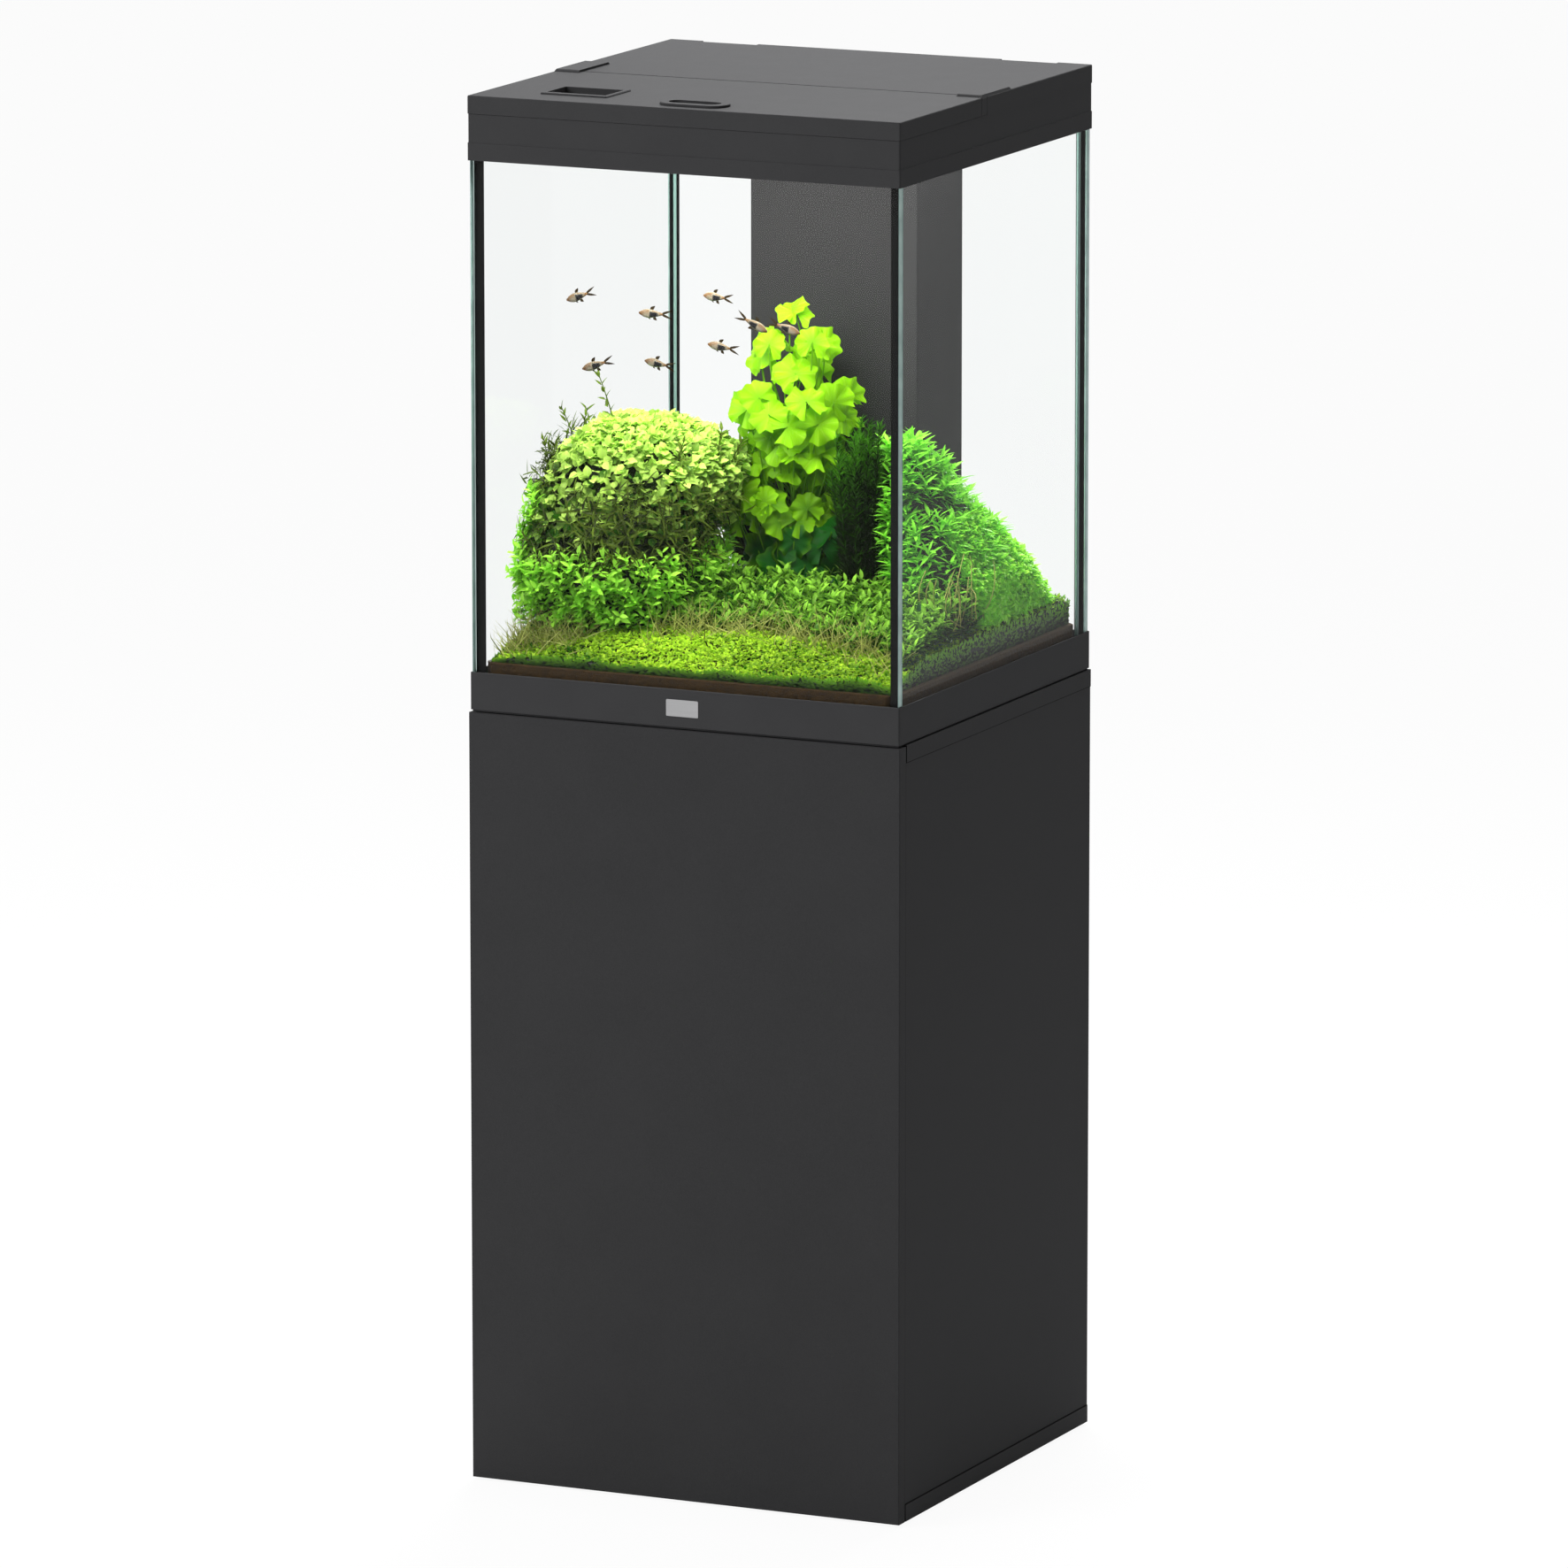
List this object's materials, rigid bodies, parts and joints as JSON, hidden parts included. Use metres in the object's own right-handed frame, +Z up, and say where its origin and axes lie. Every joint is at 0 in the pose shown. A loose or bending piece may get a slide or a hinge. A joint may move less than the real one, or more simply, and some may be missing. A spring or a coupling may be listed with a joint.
{
  "type": "aquarium on stand",
  "caption": "Planted cube glass aquarium with a hinged hood, feeder hatch and rear filter column, on a dark cabinet with one concealed-hinge door.",
  "frame": {"origin": "on the floor, under the middle of the cabinet's square footprint", "axes": "+X to the right seen from the door, +Y to the back, +Z up"},
  "size_m": [0.51, 0.51, 1.525],
  "materials": {
    "anthracite_board": "anthracite melamine face with a fine matt grain",
    "black_plastic": "moulded matt black",
    "steel": "nickel plated, lightly brushed",
    "beech": "plain beech",
    "hood_plastic": "moulded anthracite, finely eroded",
    "badge_metal": "satin silver, bare",
    "tank_glass": "clear float glass with greenish edges",
    "silicone": "black, smooth",
    "soil": "dark brown baked granules",
    "carpet_leaf": "small bright leaves, matt",
    "bush_leaf": "small leaves on thin stems",
    "broad_leaf": "wavy yellow-green leaves",
    "fern_leaf": "fine dark fronds",
    "foam": "open-cell filter foam",
    "lamp_metal": "anodised extrusion",
    "lamp_lens": "opal strip, lit"
  },
  "bodies": {
    "cabinet_and_tank": {"cabinet_top_panel": "anthracite_board", "cabinet_bottom_panel": "anthracite_board", "cabinet_left_side": "anthracite_board", "cabinet_right_side": "anthracite_board", "cabinet_back_panel": "anthracite_board", "cable_grommet": "black_plastic", "cabinet_shelf": "anthracite_board", "shelf_pins": "steel", "cam_locks": "steel", "cam_bolts": "steel", "wood_dowels": "beech", "floor_glides": "black_plastic", "hinge_plates": "steel", "plate_screws": "steel", "hinge_arms": "steel", "hinge_arm_pins": "steel", "push_latch_body": "black_plastic", "tank_base_frame": "hood_plastic", "badge_plate": "badge_metal", "glass_front": "tank_glass", "glass_back": "tank_glass", "glass_right": "tank_glass", "glass_left": "tank_glass", "glass_bottom": "tank_glass", "silicone_seams": "silicone", "tank_top_rim": "hood_plastic", "soil_bed": "soil", "plant_carpet": "carpet_leaf", "bush_left": "bush_leaf", "bush_right": "bush_leaf", "broadleaf_plant": "broad_leaf", "fern_clumps": "fern_leaf", "filter_housing": "black_plastic", "filter_foams": "foam", "pump_body": "black_plastic", "pump_cover": "black_plastic", "outlet_nozzle": "black_plastic", "heater": "black_plastic", "heater_clip": "black_plastic", "hood_frame": "hood_plastic", "rear_cover": "hood_plastic", "hinge_cover_right": "hood_plastic", "hinge_cover_left": "hood_plastic", "flap_hinge_pins": "steel", "led_profile": "lamp_metal", "led_lens": "lamp_lens", "led_end_caps": "black_plastic", "led_holders": "black_plastic"},
    "hinge_link": {"hinge_links": "steel"},
    "door": {"cabinet_door": "anthracite_board", "hinge_cups": "steel", "cup_screws": "steel", "strike_plate": "steel"},
    "latch_plunger": {"latch_plunger": "black_plastic"},
    "hood_flap": {"front_flap": "hood_plastic", "feeder_frame": "hood_plastic", "feeder_hatch_pin": "steel", "grip_ring": "hood_plastic"},
    "feeder_hatch": {"feeder_hatch": "hood_plastic"},
    "pump_rotor": {"pump_rotor": "black_plastic"}
  },
  "joints": [
    {"name": "door_swing", "type": "hinge", "parent": "hinge_link", "child": "door", "pos_m": [-0.2464, -0.244, 0.427], "axis": [0, 0, -1], "range_deg": [0, 118.75]},
    {"name": "link_turn", "type": "hinge", "parent": "cabinet_and_tank", "child": "hinge_link", "pos_m": [-0.229, -0.234, 0.427], "axis": [0, 0, 1], "range_deg": [0, 23.75]},
    {"name": "latch_push", "type": "slide", "parent": "cabinet_and_tank", "child": "latch_plunger", "axis": [0, -1, 0], "range_m": [0, 0.02]},
    {"name": "flap_lift", "type": "hinge", "parent": "cabinet_and_tank", "child": "hood_flap", "pos_m": [0, -0.036, 1.5185], "axis": [-1, 0, 0], "range_deg": [0, 95]},
    {"name": "hatch_lift", "type": "hinge", "parent": "hood_flap", "child": "feeder_hatch", "pos_m": [-0.148, -0.1605, 1.5138], "axis": [-1, 0, 0], "range_deg": [0, 85]},
    {"name": "rotor_spin", "type": "hinge", "parent": "cabinet_and_tank", "child": "pump_rotor", "pos_m": [-0.036, 0.182, 1.392], "axis": [0, 1, 0], "continuous": true}
  ],
  "couplings": [
    {"joint": "link_turn", "follows": "door_swing", "ratio": 0.2},
    {"joint": "latch_push", "follows": "door_swing", "m_per_rad": 0.00964}
  ]
}
